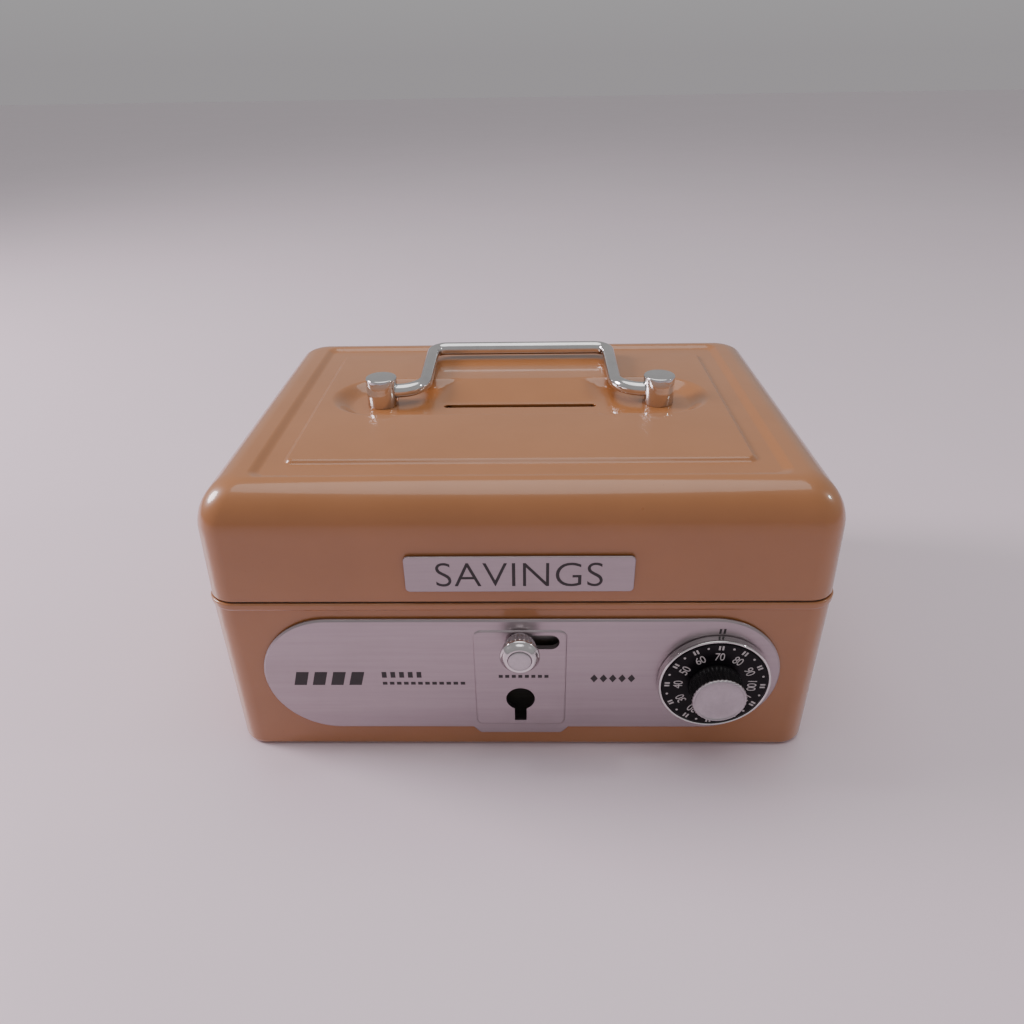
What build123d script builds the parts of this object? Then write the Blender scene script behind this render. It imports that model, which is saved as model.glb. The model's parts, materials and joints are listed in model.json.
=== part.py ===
from build123d import *

import math
import os

# A steel cash box with a coin slot in its lid.  Millimetres, +Z up, +X to the right, +Y to the back.
# The origin is the centre of the box's underside.  The lid swings on a hinge at the back, the wire
# handle swings on two posts, the latch knob slides to the right, and the dial turns a wheel pack.

# ---- body ----
BASE_WIDTH = 162.2
BASE_DEPTH = 119.2
BASE_TOP = 50.6
CORNER_RADIUS = 7.5
BOTTOM_RADIUS = 1.8
SHEET = 0.8
BEAD_HEIGHT = 1.8
BEAD_OUT = 0.4
BEAD_CHAMFER = 0.35

LID_WIDTH = 162.0
LID_DEPTH = 119.4
LID_BOTTOM = 51.0
LID_TOP = 82.0
LID_EDGE_RADIUS = 10.0

BASE_FRONT = -BASE_DEPTH / 2
BASE_INNER_FRONT = BASE_FRONT + SHEET
LID_FRONT = -LID_DEPTH / 2

# ---- rim collar, which the lid closes over ----
COLLAR_SHEET = 1.0
COLLAR_BOTTOM = 46.5
COLLAR_TOP = 56.4
COLLAR_TO_LID = 0.6

# ---- pressed shapes in the lid's top ----
FRAME_OUTER = (133.6, 96.0)
FRAME_INNER = (120.6, 80.8)
FRAME_CORNER = 2.0
FRAME_DEPTH = 1.0
RECESS_LENGTH = 113.0
RECESS_WIDTH = 28.2
RECESS_DEPTH = 2.6
RECESS_SLOPE = 40.0
RECESS_Y = 3.2
RECESS_FLOOR = LID_TOP - RECESS_DEPTH
SLOT_LENGTH = 46.0
SLOT_WIDTH = 2.4
SLOT_Y = 1.0

# ---- carrying handle ----
WIRE_RADIUS = 2.1
PIVOT_Z = 83.6
HANDLE_REACH = 34.8
HANDLE_LIFT = 2.4
LEG_X = 29.3
LOWER_BEND = 8.0
UPPER_BEND = 4.5
STUB_END_X = 44.0
POST_X = 41.8
POST_RADIUS = 4.65
POST_TOP = 88.1
POST_CHAMFER = 0.3
POST_BORE_CLEARANCE = 0.08
POST_SCREW_RADIUS = 1.5
POST_SCREW_DEPTH = 1.6
POST_SCREW_HEAD_RADIUS = 2.8
POST_SCREW_HEAD = 1.6
WASHER_RADIUS = 3.8
WASHER_THICKNESS = 0.6

# ---- front plate and name plaque ----
PLATE_LENGTH = 138.4
PLATE_HEIGHT = 38.0
PLATE_Z = 27.0
PLATE_THICKNESS = 1.2
PLATE_FRONT = BASE_FRONT - PLATE_THICKNESS
PLATE_CHAMFER = 0.5
PANEL_WIDTH = 24.8
PANEL_BOTTOM = 9.3
PANEL_TOP = 42.9
PANEL_THICKNESS = 0.7
PANEL_FRONT = PLATE_FRONT - PANEL_THICKNESS
PANEL_CORNER = 1.6
TAB_WIDTH = 22.8
TAB_TOP_WIDTH = 26.6
TAB_BOTTOM = 5.8
TAB_TOP = 8.4
PLAQUE_WIDTH = 57.2
PLAQUE_HEIGHT = 10.5
PLAQUE_Z = 60.0
PLAQUE_THICKNESS = 0.8
PLAQUE_CORNER = 1.2

# ---- keyhole ----
KEY_HEAD_RADIUS = 3.9
KEY_HEAD_Z = 19.25
KEY_SLOT_WIDTH = 3.26
KEY_BOTTOM = 11.3

# ---- sliding latch ----
LATCH_Z = 39.05
LATCH_TRAVEL = 8.0
LATCH_STUD_RADIUS = 2.0
LATCH_SLOT_HEIGHT = 4.6
KNOB_FRONT = -68.9
KNOB_RIM_FRONT = -66.2
KNOB_RIM_RADIUS = 5.2
KNOB_FACE_RADIUS = 3.1
KNOB_FACE_DEPTH = 0.8
KNOB_TEETH = 24
KNOB_TOOTH = 0.35
MOVING_GAP = 0.3

# ---- lock works, inside the base ----
CASE_LEFT = -24.0
CASE_RIGHT = 72.0
CASE_BOTTOM = 5.0
CASE_TOP = 44.5
CASE_BACK = -41.8
CASE_FLANGE = 5.0
CASE_SCREW_RADIUS = 1.2
CASE_SCREW_HEAD_RADIUS = 2.3
CASE_SCREW_HEAD = 1.2
SLIDE_FRONT = -57.9
SLIDE_THICKNESS = 1.5
SLIDE_BACK = SLIDE_FRONT + SLIDE_THICKNESS
SLIDE_LEFT = -16.0
SLIDE_RIGHT = 18.0
SLIDE_BOTTOM = 34.4
SLIDE_TOP = 42.6
SPRING_RADIUS = 1.5
SPRING_WIRE = 0.3
SPRING_TURNS = 8
SPRING_Z = 40.6
SPRING_TAB_LEFT = 34.0
SPRING_TAB_RIGHT = 35.0

STRIKE_LEFT = -8.0
STRIKE_RIGHT = 6.2
STRIKE_FRONT = -55.0
STRIKE_BACK = -53.8
STRIKE_BOTTOM = 36.0
STRIKE_TOP = 68.0
STRIKE_ARM_Z = 58.5
WELD_INSET = 3.0
NOSE_LENGTH = 4.0
NOSE_BOTTOM = 38.5
NOSE_TOP = 40.2
NOSE_BACK = -52.8

BOLT_HALF_WIDTH = 7.0
BOLT_BOTTOM = 23.8
BOLT_SHOULDER = 29.8
BOLT_NOSE_HALF_WIDTH = 2.0
BOLT_TRAVEL = 2.5
GUIDE_PIN_X = 4.4
GUIDE_PIN_Z = 25.9
GUIDE_PIN_RADIUS = 1.1
GUIDE_SLOT_WIDTH = 2.8

# ---- dial and wheel pack ----
DIAL_X = 51.5
DIAL_Z = 26.25
DIAL_RADIUS = 14.1
DIAL_RIM_RADIUS = 14.85
DIAL_FRONT = -63.4
DIAL_BACK = PLATE_FRONT - MOVING_GAP
GRIP_RADIUS = 7.15
GRIP_TOP_RADIUS = 6.8
GRIP_FRONT = -68.8
GRIP_FLUTES = 20
FLUTE_RADIUS = 0.55
CAP_RADIUS = 7.1
CAP_FRONT = -69.6
SPINDLE_RADIUS = 2.5
SPINDLE_BACK = -46.0
BUSH_RADIUS = 4.0
BUSH_CLEARANCE = 0.06
BUSH_BACK = -57.4
WHEEL_RADIUS = 12.0
WHEEL_THICKNESS = 1.5
WHEEL_PITCH = 2.5
WHEEL_FRONT = -56.6
WHEEL_CLEARANCE = 0.06
GATE_WIDTH = 3.2
GATE_DEPTH = 5.0
SPACER_RADIUS = 4.5
SPACER_CLEARANCE = 0.1
CLIP_RADIUS = 4.2
CLIP_THICKNESS = 0.8
FENCE_WIDTH = 2.0
FENCE_Z = DIAL_Z

# ---- hinge ----
HINGE_Y = 62.0
HINGE_Z = 50.8
HINGE_RADIUS = 2.0
HINGE_PIN_RADIUS = 0.9
HINGE_LENGTH = 100.0
HINGE_KNUCKLES = 10
HINGE_GAP = 0.3
HINGE_BORE_CLEARANCE = 0.06
LEAF_SHEET = 0.8
LEAF_HEIGHT = 9.0
LEAF_RIVET_RADIUS = 1.6
LEAF_RIVET_HEAD = 0.7
LEAF_RIVET_PITCH = 30.0
LEAF_RIVET_Z = 6.2

CUT = 1.0


def box_between(low, high):
    """A box from its lowest to its highest corner."""
    size = [h - l for l, h in zip(low, high)]
    centre = [(h + l) / 2 for l, h in zip(low, high)]
    return Pos(*centre) * Box(*size)


def rod_y(x, z, radius, front, back):
    """A cylinder along Y, from its front end to its back end."""
    return Pos(x, (front + back) / 2, z) * Rot(90, 0, 0) * Cylinder(radius, back - front)


def rod_x(left, right, y, z, radius):
    """A cylinder along X."""
    return Pos((left + right) / 2, y, z) * Rot(0, 90, 0) * Cylinder(radius, right - left)


def rod_z(x, y, radius, bottom, top):
    """A cylinder along Z."""
    return Pos(x, y, (bottom + top) / 2) * Cylinder(radius, top - bottom)


def front_sketch(sketch, y):
    """A sketch drawn in X and Z, seen from the front, laid at a place in Y."""
    return Plane(origin=(0, y, 0), x_dir=(1, 0, 0), z_dir=(0, -1, 0)) * sketch


def front_plate_solid(sketch, front, back):
    """A plate cut to a sketch drawn in X and Z, between two places in Y."""
    return extrude(front_sketch(sketch, back), back - front)


def rounded_prism(width, depth, radius, bottom, top):
    """An upright prism with rounded corners in plan."""
    return extrude(Pos(0, 0, bottom) * RectangleRounded(width, depth, radius), top - bottom)


def dished(width, depth, radius, bottom, top, edge):
    """A rounded prism whose top edge is rounded too."""
    prism = rounded_prism(width, depth, radius, bottom, top)
    return fillet(prism.faces().sort_by(Axis.Z)[-1].edges(), edge)


def keyhole(front, back):
    """The keyhole's round head and straight slot, as a cutter."""
    head = Pos(0, KEY_HEAD_Z) * Circle(KEY_HEAD_RADIUS)
    slot_height = KEY_HEAD_Z - KEY_BOTTOM
    slot = Pos(0, KEY_BOTTOM + slot_height / 2) * Rectangle(KEY_SLOT_WIDTH, slot_height)
    return front_plate_solid(head + slot, front, back)


def latch_opening(front, back):
    """The slot that the latch's stud slides in, as a cutter."""
    left = -LATCH_SLOT_HEIGHT / 2
    length = LATCH_TRAVEL + LATCH_SLOT_HEIGHT
    slot = Pos(left + length / 2, LATCH_Z) * SlotOverall(length, LATCH_SLOT_HEIGHT)
    return front_plate_solid(slot, front, back)


def front_openings(front, back, dial_radius):
    """Everything that passes through the front wall, as one cutter."""
    dial_hole = rod_y(DIAL_X, DIAL_Z, dial_radius, front, back)
    return keyhole(front, back) + latch_opening(front, back) + dial_hole


def base_shell():
    outer = rounded_prism(BASE_WIDTH, BASE_DEPTH, CORNER_RADIUS, 0, BASE_TOP)
    outer = fillet(outer.faces().sort_by(Axis.Z)[0].edges(), BOTTOM_RADIUS)
    bead = rounded_prism(
        BASE_WIDTH + 2 * BEAD_OUT,
        BASE_DEPTH + 2 * BEAD_OUT,
        CORNER_RADIUS + BEAD_OUT,
        BASE_TOP - BEAD_HEIGHT,
        BASE_TOP,
    )
    bead = chamfer(bead.faces().sort_by(Axis.Z)[0].edges(), BEAD_CHAMFER)
    inner = rounded_prism(
        BASE_WIDTH - 2 * SHEET, BASE_DEPTH - 2 * SHEET, CORNER_RADIUS - SHEET, SHEET, BASE_TOP + CUT
    )
    inner = fillet(inner.faces().sort_by(Axis.Z)[0].edges(), BOTTOM_RADIUS - SHEET)
    cutter = front_openings(BASE_FRONT - CUT, BASE_INNER_FRONT + CUT, BUSH_RADIUS)
    return outer + bead - inner - cutter


def rim_collar():
    width = BASE_WIDTH - 2 * SHEET
    depth = BASE_DEPTH - 2 * SHEET
    radius = CORNER_RADIUS - SHEET
    upper_inset = SHEET + COLLAR_TO_LID
    lower = rounded_prism(width, depth, radius, COLLAR_BOTTOM, BASE_TOP)
    upper = rounded_prism(
        LID_WIDTH - 2 * upper_inset,
        LID_DEPTH - 2 * upper_inset,
        CORNER_RADIUS - upper_inset,
        COLLAR_BOTTOM,
        COLLAR_TOP,
    )
    inner_inset = upper_inset + COLLAR_SHEET
    inner = rounded_prism(
        LID_WIDTH - 2 * inner_inset,
        LID_DEPTH - 2 * inner_inset,
        CORNER_RADIUS - inner_inset,
        COLLAR_BOTTOM - CUT,
        COLLAR_TOP + CUT,
    )
    return lower + upper - inner


def frame_channel(grow, drop):
    """The pressed frame in the lid's top, as a ring: cut at its own size, or grown by the sheet."""
    top = LID_TOP + CUT
    bottom = LID_TOP - FRAME_DEPTH - drop
    outer = rounded_prism(
        FRAME_OUTER[0] + 2 * grow, FRAME_OUTER[1] + 2 * grow, FRAME_CORNER + grow, bottom, top
    )
    inner = rounded_prism(
        FRAME_INNER[0] - 2 * grow,
        FRAME_INNER[1] - 2 * grow,
        FRAME_CORNER - grow,
        bottom - CUT,
        top + CUT,
    )
    return outer - inner


def handle_recess(grow, drop):
    """The stadium recess under the handle, with sloping sides."""
    depth = RECESS_DEPTH + drop
    outline = SlotOverall(RECESS_LENGTH + 2 * grow, RECESS_WIDTH + 2 * grow)
    return extrude(Pos(0, RECESS_Y, LID_TOP) * outline, -depth, taper=RECESS_SLOPE)


def coin_slot():
    floor = RECESS_FLOOR
    slot = SlotOverall(SLOT_LENGTH, SLOT_WIDTH)
    return extrude(Pos(0, SLOT_Y, floor - SHEET - CUT) * slot, SHEET + 2 * CUT)


def lid_shell():
    outer = dished(LID_WIDTH, LID_DEPTH, CORNER_RADIUS, LID_BOTTOM, LID_TOP, LID_EDGE_RADIUS)
    inner = dished(
        LID_WIDTH - 2 * SHEET,
        LID_DEPTH - 2 * SHEET,
        CORNER_RADIUS - SHEET,
        LID_BOTTOM - CUT,
        LID_TOP - SHEET,
        LID_EDGE_RADIUS - SHEET,
    )
    hollow = inner - frame_channel(SHEET, SHEET) - handle_recess(SHEET, SHEET)
    shell = outer - hollow - frame_channel(0, 0) - handle_recess(0, 0) - coin_slot()
    for side in (-1, 1):
        shell -= rod_z(side * POST_X, RECESS_Y, POST_SCREW_RADIUS, RECESS_FLOOR - 2 * CUT, LID_TOP)
    return shell


def name_plaque():
    outline = Pos(0, PLAQUE_Z) * RectangleRounded(PLAQUE_WIDTH, PLAQUE_HEIGHT, PLAQUE_CORNER)
    return front_plate_solid(outline, LID_FRONT - PLAQUE_THICKNESS, LID_FRONT)


def front_plate():
    """The pressed plate: a stadium with a tab below, and a raised panel over the lock."""
    stadium = Pos(0, PLATE_Z) * SlotOverall(PLATE_LENGTH, PLATE_HEIGHT)
    half_top = TAB_TOP_WIDTH / 2
    half_bottom = TAB_WIDTH / 2
    tab = make_face(
        Polyline(
            (-half_top, TAB_TOP),
            (-half_bottom, TAB_BOTTOM),
            (half_bottom, TAB_BOTTOM),
            (half_top, TAB_TOP),
            close=True,
        )
    )
    plate = front_plate_solid(stadium + tab, PLATE_FRONT, BASE_FRONT)
    plate = chamfer(plate.faces().sort_by(Axis.Y)[0].edges(), PLATE_CHAMFER)
    panel_height = PANEL_TOP - PANEL_BOTTOM
    panel_outline = Pos(0, PANEL_BOTTOM + panel_height / 2) * RectangleRounded(
        PANEL_WIDTH, panel_height, PANEL_CORNER
    )
    panel = front_plate_solid(panel_outline, PANEL_FRONT, PLATE_FRONT + PLATE_CHAMFER)
    panel = chamfer(panel.faces().sort_by(Axis.Y)[0].edges(), PLATE_CHAMFER)
    return plate + panel - front_openings(PANEL_FRONT - CUT, BASE_FRONT + CUT, BUSH_RADIUS)


def lock_case():
    """The pressed steel cover over the lock works, with a flange that is screwed to the front wall."""
    low = (CASE_LEFT, BASE_INNER_FRONT, CASE_BOTTOM)
    high = (CASE_RIGHT, CASE_BACK, CASE_TOP)
    inner_low = (CASE_LEFT + SHEET, BASE_INNER_FRONT - CUT, CASE_BOTTOM + SHEET)
    inner_high = (CASE_RIGHT - SHEET, CASE_BACK - SHEET, CASE_TOP - SHEET)
    flange_low = (CASE_LEFT - CASE_FLANGE, BASE_INNER_FRONT, CASE_BOTTOM)
    flange_high = (CASE_LEFT + CUT, BASE_INNER_FRONT + SHEET, CASE_TOP)
    case = box_between(low, high) + box_between(flange_low, flange_high)
    case -= box_between(inner_low, inner_high)
    for z in case_screw_heights():
        case -= rod_y(
            case_screw_x(), z, CASE_SCREW_RADIUS, BASE_INNER_FRONT - CUT, BASE_INNER_FRONT + 2 * CUT
        )
    strike_slot_low = (STRIKE_LEFT - CUT, STRIKE_FRONT - 2 * CUT, CASE_TOP - 2 * SHEET)
    strike_slot_high = (STRIKE_RIGHT + CUT, STRIKE_BACK + CUT, CASE_TOP + CUT)
    case -= box_between(strike_slot_low, strike_slot_high)
    tab_low = (SPRING_TAB_LEFT, BASE_INNER_FRONT, SPRING_Z - SPRING_RADIUS - CUT)
    tab_high = (SPRING_TAB_RIGHT, SLIDE_BACK + CUT, CASE_TOP - SHEET)
    case += box_between(tab_low, tab_high)
    return case


def case_screw_x():
    return CASE_LEFT - CASE_FLANGE / 2


def case_screw_heights():
    inset = CASE_FLANGE + CUT
    return (CASE_BOTTOM + inset, CASE_TOP - inset)


def case_screws():
    """The screws that hold the case's flange, as a group."""
    group = []
    for z in case_screw_heights():
        x = case_screw_x()
        flange_back = BASE_INNER_FRONT + SHEET
        shank = rod_y(x, z, CASE_SCREW_RADIUS, BASE_INNER_FRONT, flange_back)
        head = rod_y(x, z, CASE_SCREW_HEAD_RADIUS, flange_back, flange_back + CASE_SCREW_HEAD)
        group.append(shank + head)
    return Compound(children=group)


def guide_pins():
    """Two pins on the back of the lock case that guide the key bolt."""
    pins = []
    for side in (-1, 1):
        pins.append(
            rod_y(side * GUIDE_PIN_X, GUIDE_PIN_Z, GUIDE_PIN_RADIUS, SLIDE_FRONT, CASE_BACK - SHEET)
        )
    return Compound(children=pins)


def key_bolt():
    """The plate that the key lifts to block the latch slide."""
    low = (-BOLT_HALF_WIDTH, SLIDE_FRONT, BOLT_BOTTOM)
    high = (BOLT_HALF_WIDTH, SLIDE_BACK, BOLT_SHOULDER)
    nose_low = (-BOLT_NOSE_HALF_WIDTH, SLIDE_FRONT, BOLT_SHOULDER - CUT)
    nose_high = (BOLT_NOSE_HALF_WIDTH, SLIDE_BACK, SLIDE_BOTTOM - MOVING_GAP - BOLT_TRAVEL)
    bolt = box_between(low, high) + box_between(nose_low, nose_high)
    half = GUIDE_SLOT_WIDTH / 2
    for side in (-1, 1):
        x = side * GUIDE_PIN_X
        slot_low = (x - half, SLIDE_FRONT - CUT, GUIDE_PIN_Z - half - BOLT_TRAVEL)
        slot_high = (x + half, SLIDE_BACK + CUT, GUIDE_PIN_Z + half)
        bolt -= box_between(slot_low, slot_high)
    return bolt


def latch_slide():
    """The sliding plate, its nose for the lid's strike, and the arm with the fence."""
    plate = box_between(
        (SLIDE_LEFT, SLIDE_FRONT, SLIDE_BOTTOM), (SLIDE_RIGHT, SLIDE_BACK, SLIDE_TOP)
    )
    nose_left = STRIKE_RIGHT + MOVING_GAP
    nose = box_between(
        (nose_left, SLIDE_BACK, NOSE_BOTTOM), (nose_left + NOSE_LENGTH, NOSE_BACK, NOSE_TOP)
    )
    fence_right = DIAL_X - WHEEL_RADIUS - 2 * MOVING_GAP - LATCH_TRAVEL
    half = FENCE_WIDTH / 2
    drop = box_between(
        (SLIDE_RIGHT - 2 * FENCE_WIDTH, SLIDE_FRONT, FENCE_Z - half),
        (SLIDE_RIGHT, SLIDE_BACK, SLIDE_BOTTOM),
    )
    reach = box_between(
        (SLIDE_RIGHT - FENCE_WIDTH, SLIDE_FRONT, FENCE_Z - half),
        (fence_right, SLIDE_BACK, FENCE_Z + half),
    )
    fence_back = WHEEL_FRONT + 2 * WHEEL_PITCH + WHEEL_THICKNESS
    fence = box_between(
        (fence_right - FENCE_WIDTH, SLIDE_BACK, FENCE_Z - half),
        (fence_right, fence_back, FENCE_Z + half),
    )
    return plate + nose + drop + reach + fence


def latch_stud():
    return rod_y(0, LATCH_Z, LATCH_STUD_RADIUS, PANEL_FRONT - MOVING_GAP, SLIDE_FRONT)


def toothed_disc(radius, depth, count):
    """A disc outline with round-bottomed notches around its edge."""
    outline = Circle(radius)
    for i in range(count):
        angle = 2 * math.pi * i / count
        notch = Pos(radius * math.cos(angle), radius * math.sin(angle)) * Circle(depth)
        outline -= notch
    return outline


def latch_knob():
    """The knurled button, narrowing at its front to a bright face set into it."""
    rim = Pos(0, LATCH_Z) * toothed_disc(KNOB_RIM_RADIUS, KNOB_TOOTH, KNOB_TEETH)
    knob = front_plate_solid(rim, KNOB_RIM_FRONT, PANEL_FRONT - MOVING_GAP)
    length = KNOB_RIM_FRONT - KNOB_FRONT
    nose_radius = KNOB_RIM_RADIUS - KNOB_TOOTH
    draft = math.degrees(math.atan2(nose_radius - KNOB_FACE_RADIUS - KNOB_TOOTH, length))
    nose = Pos(0, LATCH_Z) * Circle(nose_radius)
    knob += extrude(front_sketch(nose, KNOB_RIM_FRONT), length, taper=draft)
    return knob - rod_y(0, LATCH_Z, KNOB_FACE_RADIUS, KNOB_FRONT - CUT, KNOB_FRONT + KNOB_FACE_DEPTH)


def latch_knob_face():
    return rod_y(0, LATCH_Z, KNOB_FACE_RADIUS, KNOB_FRONT, KNOB_FRONT + KNOB_FACE_DEPTH)


def latch_spring():
    """The coil spring that pushes the slide back to the left."""
    length = SPRING_TAB_LEFT - SLIDE_RIGHT - 2 * (SPRING_WIRE + MOVING_GAP)
    centre_radius = SPRING_RADIUS - SPRING_WIRE
    path = Helix(length / SPRING_TURNS, length, centre_radius)
    section = Plane(path @ 0, z_dir=path % 0) * Circle(SPRING_WIRE)
    coil = sweep(section, path, is_frenet=True)
    middle_y = (SLIDE_FRONT + SLIDE_BACK) / 2
    return Pos(SLIDE_RIGHT + SPRING_WIRE + MOVING_GAP, middle_y, SPRING_Z) * Rot(0, 90, 0) * coil


def lid_strike():
    """The steel tongue that hangs from the lid's front wall, with its hooked lower end."""
    tongue = box_between(
        (STRIKE_LEFT, STRIKE_FRONT, STRIKE_BOTTOM), (STRIKE_RIGHT, STRIKE_BACK, STRIKE_ARM_Z)
    )
    arm = box_between(
        (STRIKE_LEFT, LID_FRONT + SHEET, STRIKE_ARM_Z - SHEET),
        (STRIKE_RIGHT, STRIKE_BACK, STRIKE_ARM_Z + SHEET / 2),
    )
    pad = box_between(
        (STRIKE_LEFT, LID_FRONT + SHEET, STRIKE_ARM_Z - SHEET),
        (STRIKE_RIGHT, LID_FRONT + 2 * SHEET, STRIKE_TOP),
    )
    notch = box_between(
        (0, STRIKE_FRONT - CUT, NOSE_BOTTOM - MOVING_GAP),
        (STRIKE_RIGHT + CUT, STRIKE_BACK + CUT, NOSE_TOP + 2 * CUT),
    )
    return tongue + arm + pad - notch


def strike_welds():
    """Two round weld nuggets that hold the strike to the lid."""
    spots = []
    weld_z = STRIKE_TOP - WELD_INSET
    for x in (STRIKE_LEFT + WELD_INSET, STRIKE_RIGHT - WELD_INSET):
        spots.append(
            rod_y(x, weld_z, POST_SCREW_RADIUS, LID_FRONT + 2 * SHEET, LID_FRONT + 3 * SHEET)
        )
    return Compound(children=spots)


def handle_post(side):
    post = rod_z(side * POST_X, RECESS_Y, POST_RADIUS, RECESS_FLOOR, POST_TOP)
    post = chamfer(post.faces().sort_by(Axis.Z)[-1].edges(), POST_CHAMFER)
    bore_radius = WIRE_RADIUS + POST_BORE_CLEARANCE
    ends = sorted((side * (POST_X - 2 * POST_RADIUS), side * (STUB_END_X + MOVING_GAP)))
    post -= rod_x(ends[0], ends[1], RECESS_Y, PIVOT_Z, bore_radius)
    tap = rod_z(
        side * POST_X, RECESS_Y, POST_SCREW_RADIUS, RECESS_FLOOR - CUT, RECESS_FLOOR + POST_SCREW_DEPTH
    )
    return post - tap


def post_washers():
    bottom = RECESS_FLOOR - SHEET - WASHER_THICKNESS
    washers = []
    for side in (-1, 1):
        x = side * POST_X
        washer = rod_z(x, RECESS_Y, WASHER_RADIUS, bottom, bottom + WASHER_THICKNESS)
        washers.append(washer - rod_z(x, RECESS_Y, POST_SCREW_RADIUS, bottom - CUT, RECESS_FLOOR))
    return Compound(children=washers)


def post_screws():
    """The screws that come up through the lid into the handle's posts."""
    head_top = RECESS_FLOOR - SHEET - WASHER_THICKNESS
    screws = []
    for side in (-1, 1):
        x = side * POST_X
        shank = rod_z(x, RECESS_Y, POST_SCREW_RADIUS, head_top, RECESS_FLOOR + POST_SCREW_DEPTH)
        head = rod_z(x, RECESS_Y, POST_SCREW_HEAD_RADIUS, head_top - POST_SCREW_HEAD, head_top)
        screws.append(shank + head)
    return Compound(children=screws)


def handle_bail():
    """The bent wire handle, lying back on the recess's edge, so that it slopes up a little."""
    points = [
        (-STUB_END_X, 0, 0),
        (-LEG_X, 0, 0),
        (-LEG_X, HANDLE_REACH, 0),
        (LEG_X, HANDLE_REACH, 0),
        (LEG_X, 0, 0),
        (STUB_END_X, 0, 0),
    ]
    path = FilletPolyline(*points, radius=[LOWER_BEND, UPPER_BEND, UPPER_BEND, LOWER_BEND])
    section = Plane(path @ 0, z_dir=path % 0) * Circle(WIRE_RADIUS)
    return Pos(0, RECESS_Y, PIVOT_Z) * Rot(HANDLE_LIFT, 0, 0) * sweep(section, path)


def spindle_bush():
    bush = rod_y(DIAL_X, DIAL_Z, BUSH_RADIUS, PLATE_FRONT, BUSH_BACK)
    bore = rod_y(DIAL_X, DIAL_Z, SPINDLE_RADIUS + BUSH_CLEARANCE, PLATE_FRONT - CUT, BUSH_BACK + CUT)
    return bush - bore


def dial_spindle():
    return rod_y(DIAL_X, DIAL_Z, SPINDLE_RADIUS, DIAL_BACK, SPINDLE_BACK)


def dial_disc():
    return rod_y(DIAL_X, DIAL_Z, DIAL_RADIUS, DIAL_FRONT, DIAL_BACK)


def dial_rim():
    ring = rod_y(DIAL_X, DIAL_Z, DIAL_RIM_RADIUS, DIAL_FRONT, DIAL_BACK)
    return ring - rod_y(DIAL_X, DIAL_Z, DIAL_RADIUS, DIAL_FRONT - CUT, DIAL_BACK + CUT)


def dial_knob():
    """The fluted grip in the middle of the dial."""
    length = DIAL_FRONT - GRIP_FRONT
    draft = math.degrees(math.atan2(GRIP_RADIUS - GRIP_TOP_RADIUS, length))
    outline = Pos(DIAL_X, DIAL_Z) * Circle(GRIP_RADIUS)
    grip = extrude(front_sketch(outline, DIAL_FRONT), length, taper=draft)
    for i in range(GRIP_FLUTES):
        angle = 2 * math.pi * i / GRIP_FLUTES
        x = DIAL_X + GRIP_RADIUS * math.cos(angle)
        z = DIAL_Z + GRIP_RADIUS * math.sin(angle)
        grip -= rod_y(x, z, FLUTE_RADIUS, GRIP_FRONT - CUT, DIAL_FRONT - CUT)
    return grip


def dial_cap():
    return rod_y(DIAL_X, DIAL_Z, CAP_RADIUS, CAP_FRONT, GRIP_FRONT)


def wheel(index, bore):
    """A wheel of the pack, with its gate to the left."""
    front = WHEEL_FRONT + index * WHEEL_PITCH
    back = front + WHEEL_THICKNESS
    disc = rod_y(DIAL_X, DIAL_Z, WHEEL_RADIUS, front, back)
    disc -= rod_y(DIAL_X, DIAL_Z, bore, front - CUT, back + CUT)
    gate_left = DIAL_X - WHEEL_RADIUS - CUT
    gate_half = GATE_WIDTH / 2
    gate = box_between(
        (gate_left, front - CUT, DIAL_Z - gate_half),
        (gate_left + CUT + GATE_DEPTH, back + CUT, DIAL_Z + gate_half),
    )
    return disc - gate


def wheel_spacers():
    """Washers on the spindle that keep the wheels apart."""
    spacers = []
    for index in (0, 1):
        front = WHEEL_FRONT + index * WHEEL_PITCH + WHEEL_THICKNESS + SPACER_CLEARANCE
        back = WHEEL_FRONT + (index + 1) * WHEEL_PITCH - SPACER_CLEARANCE
        ring = rod_y(DIAL_X, DIAL_Z, SPACER_RADIUS, front, back)
        spacers.append(ring - rod_y(DIAL_X, DIAL_Z, SPINDLE_RADIUS, front - CUT, back + CUT))
    return Compound(children=spacers)


def spindle_clip():
    """The retaining ring behind the last wheel."""
    front = WHEEL_FRONT + 2 * WHEEL_PITCH + WHEEL_THICKNESS + SPACER_CLEARANCE
    back = front + CLIP_THICKNESS
    ring = rod_y(DIAL_X, DIAL_Z, CLIP_RADIUS, front, back)
    ring -= rod_y(DIAL_X, DIAL_Z, SPINDLE_RADIUS, front - CUT, back + CUT)
    mouth = box_between(
        (DIAL_X - CUT, front - CUT, DIAL_Z), (DIAL_X + CUT, back + CUT, DIAL_Z + 2 * CLIP_RADIUS)
    )
    return ring - mouth


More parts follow.
